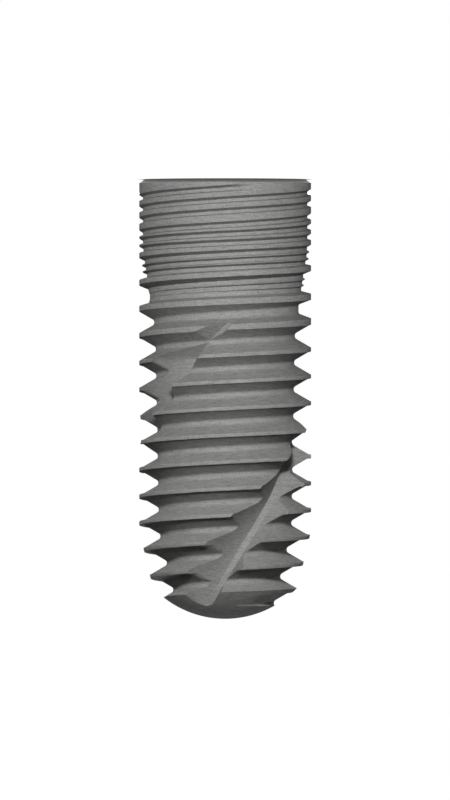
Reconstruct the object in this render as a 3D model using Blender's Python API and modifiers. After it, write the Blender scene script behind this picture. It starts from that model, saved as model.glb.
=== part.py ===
"""Dental implant fixture: one bar-turned, threaded titanium screw with an internal socket.

The part stands on its platform. The origin is the centre of the platform, which lies in z = 0
and faces down, and +Z runs along the axis to the rounded apex. All sizes are in metres.
The outside is a helical loft whose section changes from three fine neck grooves to one deep
thread groove. A turned form rounds its apex, two helical tools cut the flutes, and a turned tool
and a hexagonal one cut the socket.
"""
import math

import bmesh
import bpy
import numpy as np

MM = 0.001

# Bar
LENGTH = 11.5 * MM
BODY_RADIUS = 2.25 * MM
PLATFORM_BEVEL_WIDTH = 0.14 * MM
PLATFORM_BEVEL_HEIGHT = 0.09 * MM
TAPER_START = 9.2 * MM
TAPER_SLOPE = 0.24
APEX_DOME_RADIUS = 2.6 * MM
BLANK_END_RADIUS = 0.80 * MM

# Thread groove, right-handed, one start
THREAD_PITCH = 0.70 * MM
THREAD_PHASE_HEIGHT = 3.741 * MM
THREAD_BLEND_START = 3.0 * MM
THREAD_BLEND_END = 3.35 * MM
THREAD_MERGED_HEIGHT = 3.2 * MM
THREAD_MERGED_DEPTH = 0.293 * MM
THREAD_MERGED_CORONAL_ROOT = 0.095 * MM
THREAD_MERGED_APICAL_ROOT = 0.09 * MM
THREAD_MERGED_FLANK_ANGLE = math.radians(20.0)
THREAD_FORMING_HEIGHT = 3.39 * MM
THREAD_FORMED_HEIGHT = 3.74 * MM
THREAD_FORMED_DEPTH = 0.393 * MM
THREAD_FULL_DEPTH_HEIGHT = 4.15 * MM
CORE_RADIUS = 1.82 * MM
CORE_RADIUS_AT_TAPER = 1.73 * MM
GROOVE_CORONAL_WIDTH = 0.29 * MM
GROOVE_APICAL_WIDTH = 0.305 * MM
FLANK_ANGLE = math.radians(30.0)
ROOT_HALF_WIDTH = 0.045 * MM
ROOT_ROUNDING_WIDTH = 0.053 * MM
ROOT_ROUNDING_HEIGHT = 0.065 * MM

# Fine neck grooves, right-handed, closing up as the thread groove forms
NECK_STARTS = 3
NECK_GROOVE_SPACING = 0.30 * MM
NECK_GROOVE_DEPTH = 0.097 * MM
NECK_GROOVE_HALF_WIDTH = 0.07 * MM
NECK_ROOT_CORONAL_WIDTH = 0.030 * MM
NECK_ROOT_APICAL_WIDTH = 0.042 * MM
NECK_START = 0.22 * MM
NECK_RUN_IN = 0.06 * MM
NECK_LEAD_CHANGE_HEIGHT = 1.44 * MM
NECK_CLOSING_START = 1.0 * MM
NECK_DEEPENING_START = 1.6 * MM
NECK_LEAST_RIDGE = 0.005 * MM

# How the neck grooves merge: (height, value) places joined by straight lines
NECK_SPACINGS = (
    (NECK_CLOSING_START, NECK_GROOVE_SPACING),
    (1.70 * MM, 0.205 * MM),
    (2.00 * MM, 0.180 * MM),
    (2.70 * MM, 0.160 * MM),
    (3.10 * MM, 0.095 * MM),
)
NECK_OUTER_HALF_WIDTHS = (
    (1.70 * MM, NECK_GROOVE_HALF_WIDTH),
    (2.00 * MM, 0.080 * MM),
    (2.35 * MM, 0.105 * MM),
    (2.70 * MM, 0.140 * MM),
    (3.10 * MM, 0.170 * MM),
)
NECK_OUTER_ROOT_WIDENINGS = (
    (1.70 * MM, 0.0),
    (2.35 * MM, 0.010 * MM),
    (3.10 * MM, 0.030 * MM),
)
NECK_DEPTHS = (
    (NECK_START, 0.0),
    (NECK_START + NECK_RUN_IN, NECK_GROOVE_DEPTH),
    (NECK_DEEPENING_START, NECK_GROOVE_DEPTH),
    (2.84 * MM, 0.257 * MM),
    (THREAD_MERGED_HEIGHT, THREAD_MERGED_DEPTH),
)
NECK_RIDGE_DROPS = (
    (1.75 * MM, 0.0),
    (1.89 * MM, 0.047 * MM),
    (2.42 * MM, 0.086 * MM),
    (2.60 * MM, 0.157 * MM),
    (2.76 * MM, 0.183 * MM),
    (2.95 * MM, 0.255 * MM),
    (THREAD_MERGED_HEIGHT, THREAD_MERGED_DEPTH),
)

# Cutting flutes, right-handed helices
FLUTES = 2
FLUTE_LEAD = 13.3 * MM
FLUTE_EDGE_ANGLE = math.radians(-91.5)
FLUTE_EDGE_HEIGHT = 3.94 * MM
FLUTE_RUN_OUT_HEIGHT = 3.74 * MM
FLUTE_FULL_DEPTH_HEIGHT = 4.8 * MM
FLUTE_FLOOR_RADIUS = 1.50 * MM
FLUTE_TAPER_START = 8.3 * MM
FLUTE_APEX_FLOOR_RADIUS = 1.15 * MM
FLUTE_CORNER_OFFSET = 0.10 * MM
FLUTE_CORNER_CHAMFER = 0.10 * MM
FLUTE_BACK_ANGLE = math.radians(87.0)

# Socket
SOCKET_MOUTH_RADIUS = 1.62 * MM
SOCKET_LEAD_IN = 0.05 * MM
SOCKET_CONE_ANGLE = math.radians(11.0)
HEX_ACROSS_FLATS = 2.5 * MM
HEX_DEPTH = 3.0 * MM
SCREW_BORE_RADIUS = 0.80 * MM
SCREW_BORE_DEPTH = 6.6 * MM
DRILL_POINT_ANGLE = math.radians(59.0)

# Facets round the axis, on turned forms and on each turn of a groove
FACETS = 36
DOME_FACETS = 16
FLUTE_STEP_HEIGHT = 0.37 * MM
OVERSHOOT = 0.35 * MM
WELD = 1e-7


def crest_radius(height):
    """Outside radius of the bar: a cylinder, then the apical taper."""
    return BODY_RADIUS - TAPER_SLOPE * max(height - TAPER_START, 0.0)


def along(places, height):
    """Value at a height on the straight lines through (height, value) places."""
    heights, values = zip(*places)
    return float(np.interp(height, heights, values))


def core_radius(height):
    """Radius at the thread groove's root, from where the neck grooves have merged."""
    end = LENGTH + 2.0 * THREAD_PITCH
    heights = (THREAD_MERGED_HEIGHT, THREAD_FORMED_HEIGHT, THREAD_FULL_DEPTH_HEIGHT, TAPER_START, end)
    radii = (
        BODY_RADIUS - THREAD_MERGED_DEPTH,
        BODY_RADIUS - THREAD_FORMED_DEPTH,
        CORE_RADIUS,
        CORE_RADIUS_AT_TAPER,
        CORE_RADIUS_AT_TAPER - TAPER_SLOPE * (end - TAPER_START),
    )
    return float(np.interp(height, heights, radii))


def groove_centre(turns):
    """Height of the section's centre after a number of turns: neck lead first, then one pitch."""
    change = (NECK_LEAD_CHANGE_HEIGHT - THREAD_PHASE_HEIGHT) / THREAD_PITCH
    if turns >= change:
        return THREAD_PHASE_HEIGHT + THREAD_PITCH * turns
    return NECK_LEAD_CHANGE_HEIGHT + NECK_STARTS * NECK_GROOVE_SPACING * (turns - change)


def neck_section(centre):
    """Three fine grooves side by side: four (radius, height) corners each, lowest first.

    Towards the thread the grooves deepen and close up, the ridges between them are cut down, and
    the outer walls lean out.
    """
    spacing = along(NECK_SPACINGS, centre)
    inner = min(NECK_GROOVE_HALF_WIDTH, spacing / 2.0 - NECK_LEAST_RIDGE)
    points = []
    for side in (-1, 0, 1):
        middle = centre + side * spacing
        root = BODY_RADIUS - along(NECK_DEPTHS, middle)
        walls = []
        for way in (-1, 1):
            if way == side:
                walls.append((BODY_RADIUS, middle + way * along(NECK_OUTER_HALF_WIDTHS, centre)))
            else:
                ridge = BODY_RADIUS - along(NECK_RIDGE_DROPS, middle + way * spacing / 2.0)
                walls.append((ridge, middle + way * inner))
        widening = along(NECK_OUTER_ROOT_WIDENINGS, centre)
        coronal = min(NECK_ROOT_CORONAL_WIDTH, inner) + (widening if side == -1 else 0.0)
        apical = min(NECK_ROOT_APICAL_WIDTH, inner) + (widening if side == 1 else 0.0)
        points += [walls[0], (root, middle - coronal), (root, middle + apical), walls[1]]
    return np.array(points)


def groove_side(centre, greatest_width, merged_root_width):
    """Half a thread groove as (radius, offset) points, from the crest's edge in to the root.

    The flank ends in a wall square to the axis where it reaches the greatest width. While the
    groove is forming the flank leans out and the root's flat grows narrower.
    """
    root = core_radius(centre)
    crest = crest_radius(centre)
    forming = (THREAD_FORMING_HEIGHT, THREAD_FORMED_HEIGHT)
    inner = float(np.interp(centre, forming, (merged_root_width, ROOT_HALF_WIDTH)))
    slope = math.tan(float(np.interp(centre, forming, (THREAD_MERGED_FLANK_ANGLE, FLANK_ANGLE))))
    outer = inner + ROOT_ROUNDING_WIDTH
    rounding = root + ROOT_ROUNDING_HEIGHT
    half_width = min(greatest_width, outer + (crest - rounding) * slope)
    shoulder = rounding + (half_width - outer) / slope
    return [(crest, half_width), (shoulder, half_width), (rounding, outer)] + 3 * [(root, inner)]


def thread_section(centre):
    """One thread groove, with as many points as the neck section, so its root's coincide."""
    coronal = groove_side(centre, GROOVE_CORONAL_WIDTH, THREAD_MERGED_CORONAL_ROOT)
    apical = groove_side(centre, GROOVE_APICAL_WIDTH, THREAD_MERGED_APICAL_ROOT)
    points = [(radius, centre - offset) for radius, offset in coronal]
    points += [(radius, centre + offset) for radius, offset in reversed(apical)]
    for edge in (0, -1):
        points[edge] = (crest_radius(points[edge][1]), points[edge][1])
    return np.array(points)


def outer_section(centre):
    """Section of the outside at one angle, blended from the neck's grooves to the thread's."""
    blend = float(np.interp(centre, (THREAD_BLEND_START, THREAD_BLEND_END), (0.0, 1.0)))
    return (1.0 - blend) * neck_section(centre) + blend * thread_section(centre)


def new_object(name, bm, collection):
    """Turn a bmesh with outward faces into a named object in a collection."""
    bmesh.ops.recalc_face_normals(bm, faces=bm.faces)
    mesh = bpy.data.meshes.new(name)
    bm.to_mesh(mesh)
    bm.free()
    obj = bpy.data.objects.new(name, mesh)
    collection.objects.link(obj)
    return obj


def threaded_bar(name, collection):
    """Loft the outer section along its helix into a closed bar, bevelled at the platform.

    The last point of a section joins the first point of the section one turn on. Heights are
    held at the bevel's top edge below and past the apex above, where the loft closes to a ring.
    """
    bottom = PLATFORM_BEVEL_HEIGHT
    top = LENGTH + THREAD_PITCH
    first = math.floor((bottom - THREAD_PHASE_HEIGHT) / THREAD_PITCH - 2.0) * FACETS
    last = math.ceil((top - THREAD_PHASE_HEIGHT) / THREAD_PITCH + 2.0) * FACETS
    bm = bmesh.new()
    rows = []
    for step in range(first, last + 1):
        angle = 2.0 * math.pi * step / FACETS
        row = []
        for radius, height in outer_section(groove_centre(step / FACETS)):
            if height >= top:
                radius = BLANK_END_RADIUS
            height = min(max(height, bottom), top)
            row.append(bm.verts.new((radius * math.cos(angle), radius * math.sin(angle), height)))
        rows.append(row)
    for here, after, turn_on, turn_on_after in zip(rows, rows[1:], rows[FACETS:], rows[FACETS + 1:]):
        near = here + turn_on[:1]
        far = after + turn_on_after[:1]
        for i in range(len(near) - 1):
            bm.faces.new((near[i], far[i], far[i + 1]))
            bm.faces.new((near[i], far[i + 1], near[i + 1]))
    bmesh.ops.remove_doubles(bm, verts=bm.verts, dist=WELD)
    bmesh.ops.delete(bm, geom=[vert for vert in bm.verts if not vert.link_faces], context="VERTS")

    rim = [edge for edge in bm.edges if edge.is_boundary]
    upper_rim = [edge for edge in rim if edge.verts[0].co.z > LENGTH]
    lower_rim = [edge for edge in rim if edge.verts[0].co.z < LENGTH]
    bmesh.ops.contextual_create(bm, geom=upper_rim)
    bevel = bmesh.ops.extrude_edge_only(bm, edges=lower_rim)["geom"]
    shrink = (BODY_RADIUS - PLATFORM_BEVEL_WIDTH) / BODY_RADIUS
    for vert in (item for item in bevel if isinstance(item, bmesh.types.BMVert)):
        vert.co = (vert.co.x * shrink, vert.co.y * shrink, 0.0)
    bmesh.ops.contextual_create(bm, geom=[item for item in bevel if isinstance(item, bmesh.types.BMEdge)])
    return new_object(name, bm, collection)


def turned_tool(name, profile, collection):
    """Turn a profile of (radius, height) points, listed from high to low, about the Z axis."""
    mesh = bpy.data.meshes.new(name)
    points = [(radius, 0.0, height) for radius, height in profile]
    mesh.from_pydata(points, [(i, i + 1) for i in range(len(points) - 1)], [])
    tool = bpy.data.objects.new(name, mesh)
    collection.objects.link(tool)
    # Half a facet's turn keeps the tool's edges off the bar's own
    tool.rotation_euler.z = math.pi / FACETS
    screw = tool.modifiers.new("turn", "SCREW")
    screw.axis = "Z"
    screw.angle = 2.0 * math.pi
    screw.steps = FACETS
    screw.render_steps = FACETS
    screw.use_merge_vertices = True
    screw.merge_threshold = WELD
    return tool


def nose_profile():
    """Dome of the apex, down to its widest ring, then straight past the platform."""
    profile = []
    for angle in np.linspace(0.0, math.pi / 2.0, DOME_FACETS + 1):
        radius = APEX_DOME_RADIUS * math.sin(angle)
        profile.append((radius, LENGTH - APEX_DOME_RADIUS * (1.0 - math.cos(angle))))
    profile.append((APEX_DOME_RADIUS, -OVERSHOOT))
    profile.append((0.0, -OVERSHOOT))
    return profile


def socket_profile():
    """Socket from its drill point out: screw bore, cone seat and mouth lead-in."""
    point_height = SCREW_BORE_DEPTH + SCREW_BORE_RADIUS / math.tan(DRILL_POINT_ANGLE)
    floor = HEX_DEPTH - OVERSHOOT
    cone_radius = SOCKET_MOUTH_RADIUS - (floor - SOCKET_LEAD_IN) * math.tan(SOCKET_CONE_ANGLE)
    outside = SOCKET_LEAD_IN + OVERSHOOT
    return [
        (0.0, point_height),
        (SCREW_BORE_RADIUS, SCREW_BORE_DEPTH),
        (SCREW_BORE_RADIUS, floor),
        (cone_radius, floor),
        (SOCKET_MOUTH_RADIUS, SOCKET_LEAD_IN),
        (SOCKET_MOUTH_RADIUS + outside, SOCKET_LEAD_IN - outside),
        (0.0, SOCKET_LEAD_IN - outside),
    ]


def hex_tool(name, collection):
    """Hexagonal prism of the drive, from outside the mouth to the hex's floor."""
    height = HEX_DEPTH + OVERSHOOT
    bpy.ops.mesh.primitive_cylinder_add(
        vertices=6,
        radius=HEX_ACROSS_FLATS / math.sqrt(3.0),
        depth=height,
        location=(0.0, 0.0, HEX_DEPTH - height / 2.0),
    )
    tool = bpy.context.object
    tool.name = name
    for other in list(tool.users_collection):
        other.objects.unlink(tool)
    collection.objects.link(tool)
    return tool


def flute_tool(name, first_angle, collection):
    """Wedge swept up its helix: near-radial rake face, chamfered corner and back face."""
    slope = (BODY_RADIUS - FLUTE_FLOOR_RADIUS) / (FLUTE_FULL_DEPTH_HEIGHT - FLUTE_RUN_OUT_HEIGHT)
    start = FLUTE_RUN_OUT_HEIGHT - OVERSHOOT
    end = LENGTH + OVERSHOOT
    heights = (start, FLUTE_FULL_DEPTH_HEIGHT, FLUTE_TAPER_START, LENGTH)
    run_out = BODY_RADIUS + slope * OVERSHOOT
    floors = (run_out, FLUTE_FLOOR_RADIUS, FLUTE_FLOOR_RADIUS, FLUTE_APEX_FLOOR_RADIUS)
    lean = math.atan2(FLUTE_CORNER_OFFSET, BODY_RADIUS - FLUTE_FLOOR_RADIUS)
    rake = np.array((math.cos(lean), -math.sin(lean)))
    back = np.array((math.cos(FLUTE_BACK_ANGLE - lean), math.sin(FLUTE_BACK_ANGLE - lean)))
    reach = BODY_RADIUS + OVERSHOOT
    bm = bmesh.new()
    rings = []
    for height in np.linspace(start, end, math.ceil((end - start) / FLUTE_STEP_HEIGHT) + 1):
        floor = float(np.interp(height, heights, floors))
        corner = np.array((floor, (BODY_RADIUS - floor) * math.tan(lean)))
        section = (
            corner + FLUTE_CORNER_CHAMFER * rake,
            corner + reach * rake,
            corner + reach * (rake + back),
            corner + reach * back,
            corner + FLUTE_CORNER_CHAMFER * back,
        )
        turn = first_angle + 2.0 * math.pi * (height - FLUTE_EDGE_HEIGHT) / FLUTE_LEAD
        cos, sin = math.cos(turn), math.sin(turn)
        rings.append([bm.verts.new((u * cos - v * sin, u * sin + v * cos, height)) for u, v in section])
    for ring, after in zip(rings, rings[1:]):
        for i in range(len(ring)):
            j = (i + 1) % len(ring)
            bm.faces.new((ring[i], ring[j], after[j]))
            bm.faces.new((ring[i], after[j], after[i]))
    bm.faces.new(rings[0])
    bm.faces.new(rings[-1])
    return new_object(name, bm, collection)


def machine(body, tool, operation="DIFFERENCE"):
    """Cut a tool out of the body, or keep what is inside it, with the tool kept as a guide."""
    tool.hide_render = True
    tool.display_type = "WIRE"
    cut = body.modifiers.new(tool.name, "BOOLEAN")
    cut.operation = operation
    cut.solver = "EXACT"
    cut.object = tool


def titanium():
    """Blasted and etched titanium: a matt, neutral grey metal."""
    material = bpy.data.materials.new("titanium")
    material.use_nodes = True
    shader = material.node_tree.nodes["Principled BSDF"]
    shader.inputs["Base Color"].default_value = (0.42, 0.42, 0.41, 1.0)
    shader.inputs["Metallic"].default_value = 1.0
    shader.inputs["Roughness"].default_value = 0.55
    return material


def main():
    """Make the threaded bar, round its apex, cut its flutes and socket, and give it its metal."""
    for obj in list(bpy.data.objects):
        bpy.data.objects.remove(obj, do_unlink=True)
    parts = bpy.data.collections.new("dental_implant")
    tools = bpy.data.collections.new("tools")
    bpy.context.scene.collection.children.link(parts)
    bpy.context.scene.collection.children.link(tools)

    body = threaded_bar("fixture_body", parts)
    body.data.materials.append(titanium())
    machine(body, turned_tool("nose_form", nose_profile(), tools), "INTERSECT")
    for flute in range(FLUTES):
        angle = FLUTE_EDGE_ANGLE + 2.0 * math.pi * flute / FLUTES
        machine(body, flute_tool(f"flute_tool_{flute}", angle, tools))
    machine(body, turned_tool("socket_tool", socket_profile(), tools))
    machine(body, hex_tool("hex_tool", tools))


main()
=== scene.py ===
"""Dental implant fixture: grit-blasted titanium screw, standing on its platform on a pale floor.

The outside is a helical surface. Its section across the groove is a function of height, and it is
carried along the thread's helix, turn by turn, so that the last point of one turn is joined to
the first point of the next. Two flutes, the rounded apex and the socket are then cut from it.
"""
import math

import bmesh
import bpy
import numpy as np
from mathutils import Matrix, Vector


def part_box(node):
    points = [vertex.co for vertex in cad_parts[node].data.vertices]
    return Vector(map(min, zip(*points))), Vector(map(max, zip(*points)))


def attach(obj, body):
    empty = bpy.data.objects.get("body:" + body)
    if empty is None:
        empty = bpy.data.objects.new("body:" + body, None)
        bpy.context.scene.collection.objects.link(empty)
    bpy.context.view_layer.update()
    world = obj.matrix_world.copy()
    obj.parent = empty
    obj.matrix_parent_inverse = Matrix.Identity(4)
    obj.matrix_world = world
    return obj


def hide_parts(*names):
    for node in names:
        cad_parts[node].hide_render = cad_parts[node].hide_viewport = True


bl_info = {
    "name": "Dental Implant Fixture",
    "version": (1, 0, 0),
    "blender": (4, 5, 0),
    "location": "View3D > Sidebar > Implant",
    "description": "Models a threaded titanium implant fixture with its finish and studio",
    "category": "Object",
}

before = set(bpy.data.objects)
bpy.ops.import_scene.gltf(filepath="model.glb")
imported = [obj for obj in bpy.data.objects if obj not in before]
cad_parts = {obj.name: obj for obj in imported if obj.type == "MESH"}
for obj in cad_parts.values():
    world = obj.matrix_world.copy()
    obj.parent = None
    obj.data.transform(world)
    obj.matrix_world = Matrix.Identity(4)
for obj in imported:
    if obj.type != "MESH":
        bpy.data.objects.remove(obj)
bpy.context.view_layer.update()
NODE = "fixture_body"
NODE_LOW, NODE_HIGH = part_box(NODE)
LENGTH = float(NODE_HIGH.z)
BODY_RADIUS = float(NODE_HIGH.x - NODE_LOW.x) / 2.0

MM = 0.001
TURN = 2.0 * math.pi

# How finely the surfaces are worked out. The turned forms have odd numbers of sides, so that their
# edges don't fall on the helix's
STEPS = 144
ENVELOPE_SIDES = 137
SOCKET_SIDES = 139
DOME_POINTS = 60
FLUTE_ROWS = 110
FLUTE_FACE_POINTS = 17
CORNER_POINTS = 3
BEVEL_CORNER_POINTS = 4
ROOT_POINTS = 12

# How far tools reach past what they cut, how near points are welded, how near the axis a turned
# form begins, and the least length that a side is taken to have
OVERSHOOT = 0.35 * MM
WELD = 2e-8
POLE_ANGLE = 0.001
POLE_RADIUS = 0.001 * MM
LEAST_SIDE = 1e-12

# Thread groove, from where the neck grooves have merged, and the bar's surface kept beside it
FLANK_ANGLE = math.radians(30.0)
MERGED_FLANK_ANGLE = math.radians(20.0)
MERGED_CORONAL_ROOT = 0.125 * MM
MERGED_APICAL_ROOT = 0.120 * MM
ROOT_ROUNDING = 0.060 * MM
SHOULDER_ROUNDING = 0.014 * MM
EDGE_ROUNDING = 0.010 * MM
LAND = 0.03 * MM
BLANK_END_RADIUS = 0.8 * MM
SPARE_TURNS = 2.0

# Neck grooves. As they merge, the root takes a share of its outer wall's growth
NECK_STARTS = 3
LEAD_CHANGE_HEIGHT = 1.44 * MM
NECK_ROOT_ROUNDING = 0.012 * MM
LEAST_RIDGE = 0.005 * MM
NECK_RUN_IN = 0.06 * MM
NECK_CLOSING_START = 1.0 * MM
NECK_DEEPENING_START = 1.6 * MM
ROOT_GROWTH_SHARE = 0.4

# How the neck grooves merge: (height, value) places joined by straight lines
NECK_SPACINGS = ((1.7 * MM, 0.205 * MM), (2.0 * MM, 0.18 * MM), (2.7 * MM, 0.16 * MM), (3.1 * MM, 0.095 * MM))
NECK_DEPTHS = ((1.97 * MM, 0.115 * MM), (2.84 * MM, 0.257 * MM))
CORONAL_GROWTHS = ((1.7 * MM, 0.0), (2.35 * MM, 0.018 * MM), (2.7 * MM, 0.04 * MM), (3.1 * MM, 0.08 * MM))
APICAL_GROWTHS = (
    (1.7 * MM, 0.0),
    (2.0 * MM, 0.005 * MM),
    (2.35 * MM, 0.055 * MM),
    (2.7 * MM, 0.066 * MM),
    (3.1 * MM, 0.11 * MM),
)
RIDGE_DROPS = (
    (1.75 * MM, 0.0),
    (1.89 * MM, 0.047 * MM),
    (2.42 * MM, 0.086 * MM),
    (2.6 * MM, 0.157 * MM),
    (2.76 * MM, 0.183 * MM),
    (2.95 * MM, 0.255 * MM),
)

# Flutes: the angle between their faces, how far above the edge height their swing starts and is
# greatest, and the height of half its wave
FLUTE_OPEN_ANGLE = math.radians(87.0)
SWING_START = 2.0 * MM
SWING_GREATEST = 3.8 * MM
SWING_HALF_WAVE = 4.3 * MM

# Socket
CONE_ANGLE = math.radians(11.0)
DRILL_POINT_ANGLE = math.radians(59.0)

# Shading: the two finishes' slots, the angle of a sharp edge and the weight of large faces
BLASTED = 0
MACHINED = 1
SHARP_ANGLE = math.radians(40.0)
FACE_WEIGHT = 60

# Blasted finish: the noise values that make the darkest and lightest tone, and the least and most
# roughness, and the streaks' share in the tone
TONE_NOISE = (0.35, 0.65)
ROUGHNESS_NOISE = (0.3, 0.7)
STREAKS_SHARE = 0.45
STREAK_STRETCH = (0.12, 0.12, 1.0)
PATCH_GRAINS = 12.0
PIT_DEPTH_SHARE = 0.25
ROUGHNESS_SPREAD = 0.06

# Painted shade on walls that face the apex, deepest in the neck grooves: the heights where the neck ends,
# the painted tones in the neck and past it, and how far the normal points to the apex where the painted shade
# begins and is deepest
NECK_END = (2.8 * MM, 3.3 * MM)
PAINTED_SHADE_TONES = (0.46, 0.80)
PAINTED_SHADE_FACING = (0.2, 0.7)

# Machined finish
MACHINED_ROUGHNESS = 0.22
RING_SPACING = 0.25 * MM
RING_DEPTH = 0.002 * MM
RING_STRENGTH = 0.12

# Floor and surround, which both glow a little more behind the implant than in front of it
FLOOR_DROP = 0.005 * MM
FLOOR_TONE = 0.18
FLOOR_ROUGHNESS = 0.9
FLOOR_GLOW_REACH = 6.0 * MM
FLOOR_GLOWS = (0.04, 0.06)
# How far the floor's painted contact shadow reaches
PAINTED_SHADOW_REACH = 0.15 * MM
SURROUND_FACING = (-0.5, 1.0)
SURROUND_STRENGTHS = (0.003, 0.09)

# Lamps: name, place, width, and share of the key lamp's power
LAMP_HEIGHT = 1.1 * MM
LAMP_DEPTH = 2.0 * MM
LAMPS = (
    ("key_lamp", (0.2 * MM, -28.0 * MM, LAMP_HEIGHT), 4.0 * MM, 1.0),
    ("left_lamp", (23.0 * MM, 16.0 * MM, LAMP_HEIGHT), 8.0 * MM, 0.4),
    ("right_lamp", (-23.0 * MM, 16.0 * MM, LAMP_HEIGHT), 8.0 * MM, 0.2),
    ("back_lamp", (0.0, 28.0 * MM, LAMP_HEIGHT), 8.0 * MM, 0.8),
    ("apex_lamp", (0.0, 8.0 * MM, LENGTH + 28.0 * MM), 8.0 * MM, 0.33),
)

# The photograph's frame, in pixels, and the camera's clipping
PHOTO_WIDTH = 450
PHOTO_HEIGHT = 800
PHOTO_AXIS_X = 225.15
PHOTO_PLATFORM_Y = 179.6
PHOTO_PIXELS_PER_MM = 38.2
CLIP_START = 0.001
CLIP_END = 10.0


def length_property(name, description, millimetres):
    """A length in metres whose default is given in millimetres."""
    return bpy.props.FloatProperty(
        name=name,
        description=description,
        default=millimetres * MM,
        precision=6,
        subtype="DISTANCE",
        unit="LENGTH",
    )


def angle_property(name, description, degrees):
    """An angle in radians whose default is given in degrees."""
    return bpy.props.FloatProperty(
        name=name, description=description, default=math.radians(degrees), subtype="ANGLE"
    )


def number_property(name, description, value):
    """A plain number."""
    return bpy.props.FloatProperty(name=name, description=description, default=value)


def colour_property(name, description, colour):
    """A linear colour."""
    return bpy.props.FloatVectorProperty(
        name=name, description=description, default=colour, size=3, min=0.0, max=1.0, subtype="COLOR"
    )


class ImplantThreadSizes(bpy.types.PropertyGroup):
    """Sizes of the bar, its neck grooves and its thread."""

    bevel_width: length_property("Bevel width", "Radial width of the platform's bevel", 0.14)
    bevel_height: length_property("Bevel height", "Axial height of the platform's bevel", 0.09)
    taper_start: length_property("Taper start", "Height where the apical taper begins", 9.2)
    taper_slope: number_property("Taper slope", "Radius lost per unit of height", 0.24)
    dome_radius: length_property("Dome radius", "Radius of the apex's dome", 2.6)
    pitch: length_property("Pitch", "Pitch of the thread", 0.70)
    phase: length_property("Phase", "Height of a groove's centre on the +X side", 3.741)
    blend_start: length_property("Blend start", "Height where the neck grooves turn into the thread's", 3.0)
    blend_end: length_property("Blend end", "Height where they have become one groove", 3.35)
    merged_height: length_property("Merged height", "Height where the neck grooves have merged", 3.2)
    merged_depth: length_property("Merged depth", "Depth of the groove there", 0.293)
    forming_height: length_property("Forming height", "Height where its flanks begin to lean out", 3.39)
    formed_height: length_property("Formed height", "Height where the groove's root is round", 3.74)
    formed_depth: length_property("Formed depth", "Depth of the groove there", 0.393)
    full_height: length_property("Full height", "Height where the groove reaches the core", 4.15)
    core_radius: length_property("Core radius", "Core radius where the groove is first full", 1.82)
    core_taper_radius: length_property("Core radius at taper", "Core radius where the taper begins", 1.73)
    neck_spacing: length_property("Neck spacing", "Axial spacing of the neck grooves", 0.30)
    neck_depth: length_property("Neck depth", "Depth of the neck grooves", 0.097)
    neck_coronal: length_property("Neck groove, coronal", "Reach of its mouth towards the platform", 0.100)
    neck_apical: length_property("Neck groove, apical", "Reach of its mouth towards the apex", 0.070)
    neck_root_coronal: length_property("Neck root, coronal", "Reach of its root towards the platform", 0.038)
    neck_root_apical: length_property("Neck root, apical", "Reach of its root towards the apex", 0.045)
    neck_start: length_property("Neck start", "Height where the neck grooves run in", 0.22)
    groove_coronal: length_property("Groove, coronal", "Reach of its mouth towards the platform", 0.29)
    groove_apical: length_property("Groove, apical", "Reach of its mouth towards the apex", 0.31)
    root_half_width: length_property("Root half-width", "Half-width of its root before rounding", 0.0605)


class ImplantFluteSizes(bpy.types.PropertyGroup):
    """Sizes of the cutting flutes."""

    lead: length_property("Lead", "Axial travel of a flute in one turn", 13.3)
    edge_height: length_property("Edge height", "Height at which the cutting edge's angle is given", 3.94)
    edge_angle: angle_property("Edge angle", "Angle of the cutting edge there", -91.5)
    swing: angle_property("Swing", "How far a flute runs ahead of its even helix", 5.5)
    run_out: length_property("Run-out", "Height where a flute begins", 3.58)
    full_height: length_property("Full height", "Height where a flute is at full depth", 4.69)
    floor_radius: length_property("Floor radius", "Radius of a flute's corner", 1.5)
    taper_start: length_property("Taper start", "Height where a flute's floor begins to taper", 8.3)
    apex_radius: length_property("Apex radius", "Radius of a flute's corner at the apex", 1.15)
    corner_offset: length_property("Corner offset", "How far the rake face leans at full depth", 0.10)
    corner_rake: length_property("Corner, rake side", "Reach of the corner's flat up the rake face", 0.14)
    corner_back: length_property("Corner, back side", "Reach of the corner's flat along the back face", 0.13)


class ImplantSocketSizes(bpy.types.PropertyGroup):
    """Sizes of the internal connection."""

    mouth_radius: length_property("Mouth radius", "Radius of the cone at its mouth", 1.62)
    lead_in: length_property("Lead-in", "Chamfer of the mouth", 0.05)
    hex_width: length_property("Hexagon", "Hexagon's width across its flats", 2.5)
    hex_depth: length_property("Hexagon depth", "Height of the hexagon's floor", 3.0)
    bore_radius: length_property("Bore radius", "Minor radius of the screw bore", 0.80)
    bore_depth: length_property("Bore depth", "Height where the drill point begins", 6.6)


class ImplantFinish(bpy.types.PropertyGroup):
    """Colours and roughness of the metal."""

    blasted_colour: colour_property("Blasted", "Colour of the blasted titanium", (0.40, 0.40, 0.394))
    machined_colour: colour_property("Machined", "Colour of the machined titanium", (0.50, 0.495, 0.485))
    blasted_roughness: number_property("Roughness", "Roughness of the blasted titanium", 0.40)
    grain_size: length_property("Grain", "Size of the blasted surface's pits", 0.028)
    grain_tone: number_property("Grain tone", "How much lighter and darker the grain is, as a share", 0.28)


class ImplantStudio(bpy.types.PropertyGroup):
    """Floor, light and camera."""

    floor_size: length_property("Floor", "Side of the floor", 4000.0)
    elevation: angle_property("Elevation", "Camera's height above level", 0.8)
    distance: length_property("Distance", "Camera's distance from the axis", 120.0)
    key_power: number_property("Key", "Front lamp's power in watts; the others take a share of it", 0.0050)


def new_mesh_object(name, verts, faces):
    """A mesh object at the origin from an array of points and a list or array of faces."""
    mesh = bpy.data.meshes.new(name)
    mesh.from_pydata(np.asarray(verts).tolist(), [], np.asarray(faces).tolist())
    obj = bpy.data.objects.new(name, mesh)
    bpy.context.scene.collection.objects.link(obj)
    return obj


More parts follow.
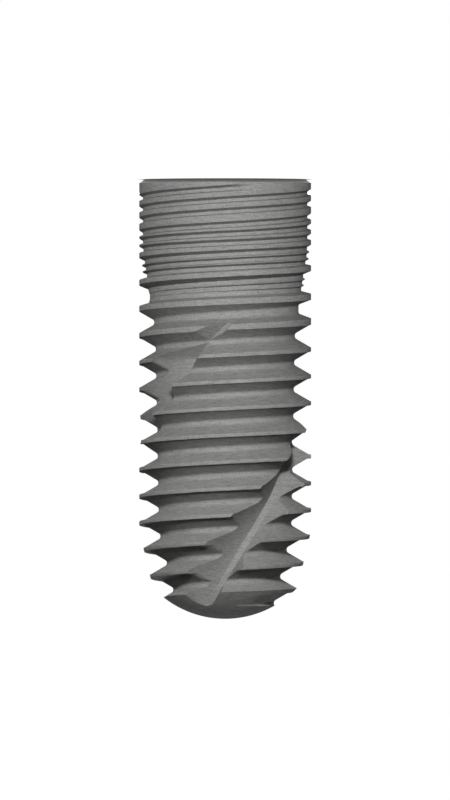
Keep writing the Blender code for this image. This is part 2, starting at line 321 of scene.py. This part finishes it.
def close_mesh(obj):
    """Weld coinciding points, fill open rims and turn all faces outwards."""
    bm = bmesh.new()
    bm.from_mesh(obj.data)
    bmesh.ops.remove_doubles(bm, verts=bm.verts, dist=WELD)
    bmesh.ops.delete(bm, geom=[vert for vert in bm.verts if not vert.link_faces], context="VERTS")
    rim = [edge for edge in bm.edges if edge.is_boundary]
    if rim:
        bmesh.ops.holes_fill(bm, edges=rim)
    bmesh.ops.triangulate(bm, faces=[face for face in bm.faces if len(face.verts) > 3])
    bmesh.ops.recalc_face_normals(bm, faces=bm.faces)
    bm.to_mesh(obj.data)
    bm.free()
    return obj


def grid_faces(rows, columns):
    """Quads of a grid of rows by columns points, in row order, closed along its columns."""
    index = np.arange(rows * columns).reshape(rows, columns)
    beside = np.roll(index, -1, axis=1)
    return np.stack([index[:-1], beside[:-1], beside[1:], index[1:]], axis=-1).reshape(-1, 4)


def turned(name, profile, steps=STEPS):
    """Solid of revolution: each (radius, height) profile point is carried round the Z axis."""
    profile = np.asarray(profile, float)
    angle = TURN * np.arange(steps) / steps
    x = profile[:, None, 0] * np.cos(angle)
    y = profile[:, None, 0] * np.sin(angle)
    z = np.broadcast_to(profile[:, None, 1], x.shape)
    verts = np.stack([x, y, z], axis=-1).reshape(-1, 3)
    return close_mesh(new_mesh_object(name, verts, grid_faces(len(profile), steps)))


def round_corners(points, cuts, counts):
    """Round each inner corner of a stack of polylines with a quadratic curve.

    points is (rows, corners + 2, 2). A corner P is replaced by the curve through P moved back by
    its cut, P and P moved on by its cut, sampled at count places, with the cut held under half of
    each neighbouring side.
    """
    side = np.diff(points, axis=1)
    size = np.maximum(np.linalg.norm(side, axis=2, keepdims=True), LEAST_SIDE)
    way = side / size
    rounded = []
    for i, (cut, count) in enumerate(zip(cuts, counts), start=1):
        reach = np.minimum(cut, 0.5 * np.minimum(size[:, i - 1], size[:, i]))
        corner = points[:, i]
        before = corner - reach * way[:, i - 1]
        after = corner + reach * way[:, i]
        for t in np.linspace(0.0, 1.0, count):
            rounded.append((1 - t) ** 2 * before + 2 * t * (1 - t) * corner + t ** 2 * after)
    return np.stack(rounded, axis=1)


def crest_radius(sizes, height):
    """Radius of the bar: constant, then falling with the taper's slope."""
    return BODY_RADIUS - sizes.taper_slope * np.maximum(height - sizes.taper_start, 0.0)


def core_radius(sizes, height):
    """Radius of the groove's root: straight lines between the heights where its slope changes."""
    end = LENGTH + SPARE_TURNS * sizes.pitch
    heights, radii = zip(
        (sizes.merged_height, BODY_RADIUS - sizes.merged_depth),
        (sizes.formed_height, BODY_RADIUS - sizes.formed_depth),
        (sizes.full_height, sizes.core_radius),
        (sizes.taper_start, sizes.core_taper_radius),
        (end, sizes.core_taper_radius - sizes.taper_slope * (end - sizes.taper_start)),
    )
    return np.interp(height, heights, radii)


def groove_centre(sizes, turns):
    """Height of the section's centre: one pitch a turn, and three neck spacings below a change."""
    change = (LEAD_CHANGE_HEIGHT - sizes.phase) / sizes.pitch
    neck = LEAD_CHANGE_HEIGHT + NECK_STARTS * sizes.neck_spacing * (turns - change)
    return np.where(turns >= change, sizes.phase + sizes.pitch * turns, neck)


def between_lands(sizes, corners):
    """Corners of a groove with a short piece of the bar's surface added before and after."""
    first = corners[:, :1].copy()
    first[:, :, 1] -= LAND
    last = corners[:, -1:].copy()
    last[:, :, 1] += LAND
    for edge in (first, last):
        edge[:, :, 0] = crest_radius(sizes, edge[:, :, 1])
    return np.concatenate([first, corners, last], axis=1)


def along(height, *places):
    """Straight lines through (height, value) places, read at the heights."""
    heights, values = zip(*places)
    return np.interp(height, heights, values)


def neck_section(sizes, centre):
    """Three grooves side by side for an array of centre heights, corners rounded.

    A groove goes down a wall to the root, along it, and up the other wall. Towards the thread the
    roots grow deeper, the two ridges between them are cut down, the grooves draw together and the
    outer walls lean out.
    """
    merged = (sizes.merged_height, sizes.merged_depth)
    run_in = ((sizes.neck_start, 0.0), (sizes.neck_start + NECK_RUN_IN, sizes.neck_depth))
    spacing = along(centre, (NECK_CLOSING_START, sizes.neck_spacing), *NECK_SPACINGS)
    room = 0.5 * spacing - LEAST_RIDGE
    ways = (
        (-1, sizes.neck_coronal, sizes.neck_root_coronal, along(centre, *CORONAL_GROWTHS)),
        (1, sizes.neck_apical, sizes.neck_root_apical, along(centre, *APICAL_GROWTHS)),
    )
    columns = []
    for side in (-1, 0, 1):
        middle = centre + side * spacing
        depth = along(middle, *run_in, (NECK_DEEPENING_START, sizes.neck_depth), *NECK_DEPTHS, merged)
        walls = []
        roots = []
        for way, reach, root_reach, growth in ways:
            if side == way:
                ridge = np.zeros_like(middle)
                mouth = reach + growth
                bottom = np.minimum(root_reach, room) + ROOT_GROWTH_SHARE * growth
            else:
                ridge = along(middle + way * 0.5 * spacing, *RIDGE_DROPS, merged)
                mouth = np.minimum(reach, room)
                bottom = np.minimum(root_reach, room)
            walls.append(np.stack([BODY_RADIUS - ridge, middle + way * mouth], axis=-1))
            roots.append(np.stack([BODY_RADIUS - depth, middle + way * bottom], axis=-1))
        columns += [walls[0], roots[0], roots[1], walls[1]]
    corners = between_lands(sizes, np.stack(columns, axis=1))
    cuts = NECK_STARTS * (EDGE_ROUNDING, NECK_ROOT_ROUNDING, NECK_ROOT_ROUNDING, EDGE_ROUNDING)
    return round_corners(corners, cuts, len(cuts) * (CORNER_POINTS,))


def thread_side(sizes, centre, greatest, merged_root_width):
    """Half a thread groove: crest edge, short square wall, flank and the root's sharp corner.

    From where the groove is forming to where it has formed, the root's half-width falls and the
    flank leans out, in straight lines. The wall begins at the groove's greatest half-width.
    """
    forming = (sizes.forming_height, sizes.formed_height)
    slope = np.interp(centre, forming, (math.tan(MERGED_FLANK_ANGLE), math.tan(FLANK_ANGLE)))
    corner = np.interp(centre, forming, (merged_root_width, sizes.root_half_width))
    root = core_radius(sizes, centre)
    crest = crest_radius(sizes, centre)
    half_width = np.minimum(greatest, corner + (crest - root) * slope)
    shoulder = root + (half_width - corner) / slope
    return [(crest, half_width), (shoulder, half_width), (root, corner)]


def thread_section(sizes, centre):
    """One thread groove with a round root, as many points as the neck's three grooves."""
    coronal = thread_side(sizes, centre, sizes.groove_coronal, MERGED_CORONAL_ROOT)
    apical = thread_side(sizes, centre, sizes.groove_apical, MERGED_APICAL_ROOT)
    columns = [np.stack([radius, centre - offset], axis=-1) for radius, offset in coronal]
    columns += [np.stack([radius, centre + offset], axis=-1) for radius, offset in reversed(apical)]
    for edge in (0, -1):
        columns[edge][:, 0] = crest_radius(sizes, columns[edge][:, 1])
    cuts = (EDGE_ROUNDING, SHOULDER_ROUNDING, ROOT_ROUNDING)
    counts = (CORNER_POINTS, CORNER_POINTS, ROOT_POINTS)
    corners = between_lands(sizes, np.stack(columns, axis=1))
    return round_corners(corners, cuts + cuts[::-1], counts + counts[::-1])


def outer_section(sizes, centre):
    """Section of the outside for each centre height: neck and thread sections blended."""
    blend = np.interp(centre, (sizes.blend_start, sizes.blend_end), (0.0, 1.0))
    blend = blend[:, None, None]
    return (1.0 - blend) * neck_section(sizes, centre) + blend * thread_section(sizes, centre)


def helical_bar(sizes):
    """The bar before its ends are shaped: outer sections along the helix, with flat ends.

    Point (step, column) stands at angle step / STEPS of a turn. Column 0 of the next turn closes
    each turn's last column. Heights are held just below the platform and past the apex.
    """
    bottom = -OVERSHOOT
    top = LENGTH + sizes.pitch
    first = math.floor((bottom - sizes.phase) / sizes.pitch - SPARE_TURNS) * STEPS
    last = math.ceil((top - sizes.phase) / sizes.pitch + SPARE_TURNS) * STEPS
    step = np.arange(first, last + 1)
    section = outer_section(sizes, groove_centre(sizes, step / STEPS))
    radius = np.where(section[:, :, 1] >= top, BLANK_END_RADIUS, section[:, :, 0])
    height = np.clip(section[:, :, 1], bottom, top)
    angle = (TURN * (step % STEPS) / STEPS)[:, None]
    verts = np.stack([radius * np.cos(angle), radius * np.sin(angle), height], axis=-1)
    rows, columns = radius.shape
    index = np.arange(rows * columns).reshape(rows, columns)
    closed = np.concatenate([index[:-STEPS], index[STEPS:, :1]], axis=1)
    here, onward = closed[:-1], closed[1:]
    faces = np.stack([here[:, :-1], onward[:, :-1], onward[:, 1:], here[:, 1:]], axis=-1)
    return close_mesh(new_mesh_object("implant_fixture", verts.reshape(-1, 3), faces.reshape(-1, 4)))


def envelope_form(sizes):
    """Turned outline of both ends: the apex's dome, an outer wall, the bevel's cone and the platform.

    The dome is an arc about a centre on the axis. The cone is carried outwards past the bar. The
    cone and the platform are machined, and the rest is blasted.
    """
    angle = np.linspace(POLE_ANGLE, math.pi / 2.0, DOME_POINTS)
    arc = np.stack(
        [sizes.dome_radius * np.sin(angle), LENGTH - sizes.dome_radius * (1.0 - np.cos(angle))], axis=-1
    )
    inner = BODY_RADIUS - sizes.bevel_width
    cone_top = (sizes.dome_radius - inner) * sizes.bevel_height / sizes.bevel_width
    line = np.array([[(sizes.dome_radius, cone_top), (inner, 0.0), (0.5 * inner, 0.0)]])
    edge = round_corners(line, (EDGE_ROUNDING,), (BEVEL_CORNER_POINTS,))[0]
    profile = np.concatenate([arc, line[0, :1], edge, [(POLE_RADIUS, 0.0)]])
    form = turned("envelope_form", profile, ENVELOPE_SIDES)
    height = np.empty(3 * len(form.data.polygons), np.float32)
    form.data.polygons.foreach_get("center", height)
    finish = np.where(height[2::3] < cone_top, MACHINED, BLASTED).astype(np.int32)
    form.data.polygons.foreach_set("material_index", finish)
    return form


def flute_form(sizes, name, first_angle):
    """Wedge swept up its helix: rake face, flat corner and back face round one section.

    The corner's radius follows the run-out, the floor and the apical taper. The section turns
    with the height over the lead, plus a swing that starts above the edge height, grows with the
    square of the height to its greatest, and follows a cosine.
    """
    slope = (BODY_RADIUS - sizes.floor_radius) / (sizes.full_height - sizes.run_out)
    start = sizes.run_out - OVERSHOOT
    height = np.linspace(start, LENGTH + OVERSHOOT, FLUTE_ROWS)
    floor = np.interp(
        height,
        (start, sizes.full_height, sizes.taper_start, LENGTH),
        (BODY_RADIUS + slope * OVERSHOOT, sizes.floor_radius, sizes.floor_radius, sizes.apex_radius),
    )
    lean = math.atan2(sizes.corner_offset, BODY_RADIUS - sizes.floor_radius)
    back_angle = FLUTE_OPEN_ANGLE - lean
    rake = np.array((math.cos(lean), -math.sin(lean)))
    back = np.array((math.cos(back_angle), math.sin(back_angle)))
    reach = BODY_RADIUS + OVERSHOOT
    corner = np.stack([floor, (BODY_RADIUS - floor) * math.tan(lean)], axis=-1)[:, None]
    away = np.linspace(0.0, 1.0, FLUTE_FACE_POINTS)[:, None]
    rake_line = corner + (sizes.corner_rake + reach * away[::-1]) * rake
    back_line = corner + (sizes.corner_back + reach * away) * back
    far = corner + reach * (rake + back)
    ring = np.concatenate([rake_line, back_line, far], axis=1)
    above = height - sizes.edge_height
    eased = np.clip((above - SWING_START) / (SWING_GREATEST - SWING_START), 0.0, 1.0) ** 2
    swung = sizes.swing * eased * np.cos(math.pi * (above - SWING_GREATEST) / SWING_HALF_WAVE)
    turn = (first_angle + TURN * above / sizes.lead + swung)[:, None]
    x = ring[:, :, 0] * np.cos(turn) - ring[:, :, 1] * np.sin(turn)
    y = ring[:, :, 0] * np.sin(turn) + ring[:, :, 1] * np.cos(turn)
    z = np.broadcast_to(height[:, None], x.shape)
    verts = np.stack([x, y, z], axis=-1).reshape(-1, 3)
    return close_mesh(new_mesh_object(name, verts, grid_faces(*x.shape)))


def socket_form(sizes):
    """Turned socket: mouth lead-in, cone seat, screw bore and drill point."""
    slope = math.tan(CONE_ANGLE)
    floor = sizes.hex_depth - OVERSHOOT
    outside = sizes.lead_in + OVERSHOOT
    profile = [
        (POLE_RADIUS, sizes.bore_depth + sizes.bore_radius / math.tan(DRILL_POINT_ANGLE)),
        (sizes.bore_radius, sizes.bore_depth),
        (sizes.bore_radius, floor),
        (sizes.mouth_radius - (floor - sizes.lead_in) * slope, floor),
        (sizes.mouth_radius, sizes.lead_in),
        (sizes.mouth_radius + outside, sizes.lead_in - outside),
    ]
    return turned("socket_form", profile, SOCKET_SIDES)


def hexagon_form(sizes):
    """Hexagonal prism: six corners at the given width across flats, carried along the axis."""
    profile = [(sizes.hex_width / math.sqrt(3.0), height) for height in (sizes.hex_depth, -OVERSHOOT)]
    return turned("hexagon_form", profile, 6)


def combine(body, tool, operation):
    """Apply one Boolean to the body and remove its tool."""
    cut = body.modifiers.new(tool.name, "BOOLEAN")
    cut.operation = operation
    cut.solver = "MANIFOLD"
    cut.material_mode = "TRANSFER"
    cut.object = tool
    graph = bpy.context.evaluated_depsgraph_get()
    mesh = bpy.data.meshes.new_from_object(body.evaluated_get(graph), depsgraph=graph)
    body.modifiers.clear()
    old = body.data
    body.data = mesh
    bpy.data.meshes.remove(old)
    bpy.data.objects.remove(tool, do_unlink=True)


def shade(nodes, kind, **values):
    """A new node with its input values set by name."""
    node = nodes.new(kind)
    for key, value in values.items():
        node.inputs[key].default_value = value
    return node


def ramp(nodes, start, end, low=0.0, high=1.0):
    """A new node that maps values between start and end to values between low and high."""
    node = nodes.new("ShaderNodeMapRange")
    for name, value in (("From Min", start), ("From Max", end), ("To Min", low), ("To Max", high)):
        node.inputs[name].default_value = value
    return node


def paint_shade_on_apical_walls(nodes, links, place, colour):
    """The colour times a tone of painted shade that falls where the normal points along Z, most of all in the
    neck.
    """
    parts = nodes.new("ShaderNodeSeparateXYZ")
    deepest_painted_shade = ramp(nodes, *NECK_END, *PAINTED_SHADE_TONES)
    surface = nodes.new("ShaderNodeNewGeometry")
    facing = nodes.new("ShaderNodeSeparateXYZ")
    # Painted shade: the factor falls from 1 to the darkest tone as the normal turns towards the apex
    painted_shade_factor = ramp(nodes, *PAINTED_SHADE_FACING, 1.0, 1.0)
    painted_shade_mix = nodes.new("ShaderNodeMixRGB")
    painted_shade_mix.inputs["Color1"].default_value = (0.0, 0.0, 0.0, 1.0)
    links.new(place, parts.inputs["Vector"])
    links.new(parts.outputs["Z"], deepest_painted_shade.inputs["Value"])
    links.new(surface.outputs["Normal"], facing.inputs["Vector"])
    links.new(facing.outputs["Z"], painted_shade_factor.inputs["Value"])
    links.new(deepest_painted_shade.outputs["Result"], painted_shade_factor.inputs["To Max"])
    links.new(painted_shade_factor.outputs["Result"], painted_shade_mix.inputs["Fac"])
    links.new(colour, painted_shade_mix.inputs["Color2"])
    return painted_shade_mix.outputs["Color"]


def blasted_titanium(finish):
    """Blasted and etched titanium: pits and fine turning streaks as tone, pits as bump.

    Its roughness is patchy, and its walls that face the apex are darker with painted shade.
    """
    material = bpy.data.materials.new("blasted_titanium")
    material.use_nodes = True
    nodes, links = material.node_tree.nodes, material.node_tree.links
    shader = nodes["Principled BSDF"]
    shader.inputs["Metallic"].default_value = 0.0
    shader.inputs["Specular IOR Level"].default_value = 0.0
    place = nodes.new("ShaderNodeTexCoord")
    pits = shade(nodes, "ShaderNodeTexNoise", Scale=1.0 / finish.grain_size, Detail=1.0, Roughness=0.6)
    patches = shade(nodes, "ShaderNodeTexNoise", Scale=1.0 / (PATCH_GRAINS * finish.grain_size), Detail=4.0)
    flat = shade(nodes, "ShaderNodeMapping", Scale=STREAK_STRETCH)
    streaks = shade(nodes, "ShaderNodeTexNoise", Scale=1.0 / finish.grain_size, Detail=3.0)
    both = shade(nodes, "ShaderNodeMix", Factor=STREAKS_SHARE)
    spread = ramp(nodes, *TONE_NOISE)
    tone = nodes.new("ShaderNodeMixRGB")
    for name, share in (("Color1", 1.0 - finish.grain_tone), ("Color2", 1.0 + finish.grain_tone)):
        tone.inputs[name].default_value = (*[share * channel for channel in finish.blasted_colour], 1.0)
    smoothest = finish.blasted_roughness - ROUGHNESS_SPREAD
    roughest = finish.blasted_roughness + ROUGHNESS_SPREAD
    rough = ramp(nodes, *ROUGHNESS_NOISE, smoothest, roughest)
    bump = shade(nodes, "ShaderNodeBump", Strength=1.0, Distance=PIT_DEPTH_SHARE * finish.grain_size)
    links.new(place.outputs["Object"], pits.inputs["Vector"])
    links.new(place.outputs["Object"], patches.inputs["Vector"])
    links.new(place.outputs["Object"], flat.inputs["Vector"])
    links.new(flat.outputs["Vector"], streaks.inputs["Vector"])
    links.new(pits.outputs["Fac"], both.inputs["A"])
    links.new(streaks.outputs["Fac"], both.inputs["B"])
    links.new(both.outputs["Result"], spread.inputs["Value"])
    links.new(spread.outputs["Result"], tone.inputs["Fac"])
    # Painted shade: walls that face the apex are darkened, most of all in the neck grooves
    colour = paint_shade_on_apical_walls(nodes, links, place.outputs["Object"], tone.outputs["Color"])
    links.new(colour, shader.inputs["Base Color"])
    links.new(patches.outputs["Fac"], rough.inputs["Value"])
    links.new(rough.outputs["Result"], shader.inputs["Roughness"])
    links.new(pits.outputs["Fac"], bump.inputs["Height"])
    links.new(bump.outputs["Normal"], shader.inputs["Normal"])
    return material


def machined_titanium(finish):
    """Bright machined titanium: fine turning rings as bump over a low roughness."""
    material = bpy.data.materials.new("machined_titanium")
    material.use_nodes = True
    nodes, links = material.node_tree.nodes, material.node_tree.links
    shader = nodes["Principled BSDF"]
    shader.inputs["Metallic"].default_value = 1.0
    shader.inputs["Base Color"].default_value = (*finish.machined_colour, 1.0)
    shader.inputs["Roughness"].default_value = MACHINED_ROUGHNESS
    place = nodes.new("ShaderNodeTexCoord")
    rings = shade(nodes, "ShaderNodeTexWave", Scale=1.0 / RING_SPACING, Distortion=0.4, Detail=2.0)
    rings.wave_type = "RINGS"
    rings.rings_direction = "Z"
    bump = shade(nodes, "ShaderNodeBump", Strength=RING_STRENGTH, Distance=RING_DEPTH)
    links.new(place.outputs["Object"], rings.inputs["Vector"])
    links.new(rings.outputs["Fac"], bump.inputs["Height"])
    links.new(bump.outputs["Normal"], shader.inputs["Normal"])
    return material


class IMPLANT_OT_fixture(bpy.types.Operator):
    """Model the threaded fixture, cut its flutes and socket, and finish its metal"""

    bl_idname = "implant.fixture"
    bl_label = "Fixture"

    def execute(self, context):
        sizes = context.scene.implant_thread
        flutes = context.scene.implant_flutes
        socket = context.scene.implant_socket
        finish = context.scene.implant_finish
        blasted = blasted_titanium(finish)
        machined = machined_titanium(finish)
        body = helical_bar(sizes)
        envelope = envelope_form(sizes)
        for obj in (body, envelope):
            obj.data.materials.append(blasted)
            obj.data.materials.append(machined)
        combine(body, envelope, "INTERSECT")
        for side in (0.0, math.pi):
            flute = flute_form(flutes, "flute_form", flutes.edge_angle + side)
            flute.data.materials.append(blasted)
            combine(body, flute, "DIFFERENCE")
        for form in (socket_form(socket), hexagon_form(socket)):
            form.data.materials.append(machined)
            combine(body, form, "DIFFERENCE")
        body.data.shade_smooth()
        body.data.set_sharp_from_angle(angle=SHARP_ANGLE)
        even = body.modifiers.new("face_weighted_shading", "WEIGHTED_NORMAL")
        even.keep_sharp = True
        even.weight = FACE_WEIGHT
        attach(body, "root")
        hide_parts(NODE)
        return {"FINISHED"}


def white_where_seen(nodes, links, light):
    """Mix of white for camera, glossy and transmission rays with the light that others get."""
    path = nodes.new("ShaderNodeLightPath")
    seen = path.outputs["Is Camera Ray"]
    for name in ("Is Glossy Ray", "Is Transmission Ray"):
        either = nodes.new("ShaderNodeMath")
        either.operation = "MAXIMUM"
        links.new(seen, either.inputs[0])
        links.new(path.outputs[name], either.inputs[1])
        seen = either.outputs["Value"]
    strength = nodes.new("ShaderNodeMix")
    strength.data_type = "FLOAT"
    strength.inputs["B"].default_value = 1.0
    links.new(seen, strength.inputs["Factor"])
    links.new(light, strength.inputs["A"])
    return strength


class IMPLANT_OT_floor(bpy.types.Operator):
    """Lay the pale floor, white to the camera, with a soft contact shadow painted into its white from ambient
    occlusion
    """

    bl_idname = "implant.floor"
    bl_label = "Floor"

    def execute(self, context):
        half = context.scene.implant_studio.floor_size / 2.0
        corners = [(-half, -half), (half, -half), (half, half), (-half, half)]
        floor = new_mesh_object("floor", [(x, y, -FLOOR_DROP) for x, y in corners], [(0, 1, 2, 3)])
        material = bpy.data.materials.new("white_floor")
        material.use_nodes = True
        nodes, links = material.node_tree.nodes, material.node_tree.links
        shader = nodes["Principled BSDF"]
        shader.inputs["Base Color"].default_value = (FLOOR_TONE, FLOOR_TONE, FLOOR_TONE, 1.0)
        shader.inputs["Roughness"].default_value = FLOOR_ROUGHNESS
        shader.inputs["Specular IOR Level"].default_value = 0.0
        place = nodes.new("ShaderNodeTexCoord")
        parts = nodes.new("ShaderNodeSeparateXYZ")
        glow = ramp(nodes, -FLOOR_GLOW_REACH, FLOOR_GLOW_REACH, *FLOOR_GLOWS)
        shader.inputs["Emission Color"].default_value = (1.0, 1.0, 1.0, 1.0)
        links.new(place.outputs["Object"], parts.inputs["Vector"])
        links.new(parts.outputs["Y"], glow.inputs["Value"])
        # Painted contact shadow: ambient occlusion darkens the floor's white where camera, glossy and
        # transmission rays see it
        painted_contact_shadow = shade(nodes, "ShaderNodeAmbientOcclusion", Distance=PAINTED_SHADOW_REACH)
        strength = white_where_seen(nodes, links, glow.outputs["Result"])
        links.new(painted_contact_shadow.outputs["AO"], strength.inputs["B"])
        links.new(strength.outputs["Result"], shader.inputs["Emission Strength"])
        floor.data.materials.append(material)
        return {"FINISHED"}


def soft_lamp(name, place, target, width, power):
    """A wide area lamp at a place, turned towards a target. Only the key lamp is seen reflected."""
    data = bpy.data.lights.new(name, "AREA")
    data.energy = power
    data.shape = "RECTANGLE"
    data.size = width
    data.size_y = LAMP_DEPTH
    lamp = bpy.data.objects.new(name, data)
    bpy.context.scene.collection.objects.link(lamp)
    lamp.location = place
    lamp.rotation_euler = (target - place).to_track_quat("-Z", "Y").to_euler()
    lamp.visible_camera = False
    lamp.visible_glossy = name == "key_lamp"
    return lamp


class IMPLANT_OT_lights(bpy.types.Operator):
    """Set the white background, the soft surround and the lamps"""

    bl_idname = "implant.lights"
    bl_label = "Lights"

    def execute(self, context):
        world = context.scene.world or bpy.data.worlds.new("studio")
        context.scene.world = world
        world.use_nodes = True
        nodes, links = world.node_tree.nodes, world.node_tree.links
        nodes.clear()
        output = nodes.new("ShaderNodeOutputWorld")
        place = nodes.new("ShaderNodeTexCoord")
        facing = nodes.new("ShaderNodeVectorMath")
        facing.operation = "DOT_PRODUCT"
        facing.inputs[1].default_value = (0.0, 1.0, 0.0)
        behind = ramp(nodes, *SURROUND_FACING, *SURROUND_STRENGTHS)
        background = nodes.new("ShaderNodeBackground")
        background.inputs["Color"].default_value = (1.0, 1.0, 1.0, 1.0)
        links.new(place.outputs["Generated"], facing.inputs[0])
        links.new(facing.outputs["Value"], behind.inputs["Value"])
        strength = white_where_seen(nodes, links, behind.outputs["Result"])
        links.new(strength.outputs["Result"], background.inputs["Strength"])
        links.new(background.outputs["Background"], output.inputs["Surface"])
        key_power = context.scene.implant_studio.key_power
        middle = Vector((0.0, 0.0, LENGTH / 2.0))
        for name, where, width, share in LAMPS:
            soft_lamp(name, Vector(where), middle, width, share * key_power)
        context.scene.view_settings.view_transform = "Standard"
        return {"FINISHED"}


class IMPLANT_OT_camera(bpy.types.Operator):
    """Place the camera as the photograph has it, turned over so that the apex points down"""

    bl_idname = "implant.camera"
    bl_label = "Camera"

    def execute(self, context):
        studio = context.scene.implant_studio
        data = bpy.data.cameras.new("camera")
        camera = bpy.data.objects.new("camera", data)
        context.scene.collection.objects.link(camera)
        metres_per_pixel = MM / PHOTO_PIXELS_PER_MM
        data.type = "ORTHO"
        data.ortho_scale = PHOTO_HEIGHT * metres_per_pixel
        across = (PHOTO_AXIS_X - PHOTO_WIDTH / 2.0) * metres_per_pixel
        centre_height = (PHOTO_HEIGHT / 2.0 - PHOTO_PLATFORM_Y) * metres_per_pixel
        rise = math.sin(studio.elevation)
        run = math.cos(studio.elevation)
        height = centre_height / run
        camera.location = (across, -studio.distance * run, height + studio.distance * rise)
        camera.rotation_euler = (math.pi / 2.0 + studio.elevation, math.pi, 0.0)
        data.clip_start = CLIP_START
        data.clip_end = CLIP_END
        context.scene.camera = camera
        return {"FINISHED"}


class IMPLANT_PT_panel(bpy.types.Panel):
    """Buttons and sizes of the implant"""

    bl_label = "Implant"
    bl_idname = "IMPLANT_PT_panel"
    bl_space_type = "VIEW_3D"
    bl_region_type = "UI"
    bl_category = "Implant"

    def draw(self, context):
        for operator in OPERATORS:
            self.layout.operator(operator.bl_idname)
        for group in GROUPS:
            settings = getattr(context.scene, group)
            for name in settings.bl_rna.properties.keys():
                if name not in ("rna_type", "name"):
                    self.layout.prop(settings, name)


GROUPS = {
    "implant_thread": ImplantThreadSizes,
    "implant_flutes": ImplantFluteSizes,
    "implant_socket": ImplantSocketSizes,
    "implant_finish": ImplantFinish,
    "implant_studio": ImplantStudio,
}
OPERATORS = (IMPLANT_OT_fixture, IMPLANT_OT_floor, IMPLANT_OT_lights, IMPLANT_OT_camera)
CLASSES = (*GROUPS.values(), *OPERATORS, IMPLANT_PT_panel)


def register():
    """Register the classes and put each group of settings on the scene."""
    for cls in CLASSES:
        bpy.utils.register_class(cls)
    for name, group in GROUPS.items():
        setattr(bpy.types.Scene, name, bpy.props.PointerProperty(type=group))


def unregister():
    """Take the settings and classes away again."""
    for name in GROUPS:
        delattr(bpy.types.Scene, name)
    for cls in reversed(CLASSES):
        bpy.utils.unregister_class(cls)


def main():
    """Make every piece, the studio and the camera."""
    register()
    bpy.ops.implant.camera()
    bpy.ops.implant.fixture()
    bpy.ops.implant.floor()
    bpy.ops.implant.lights()


if __name__ == "__main__":
    main()
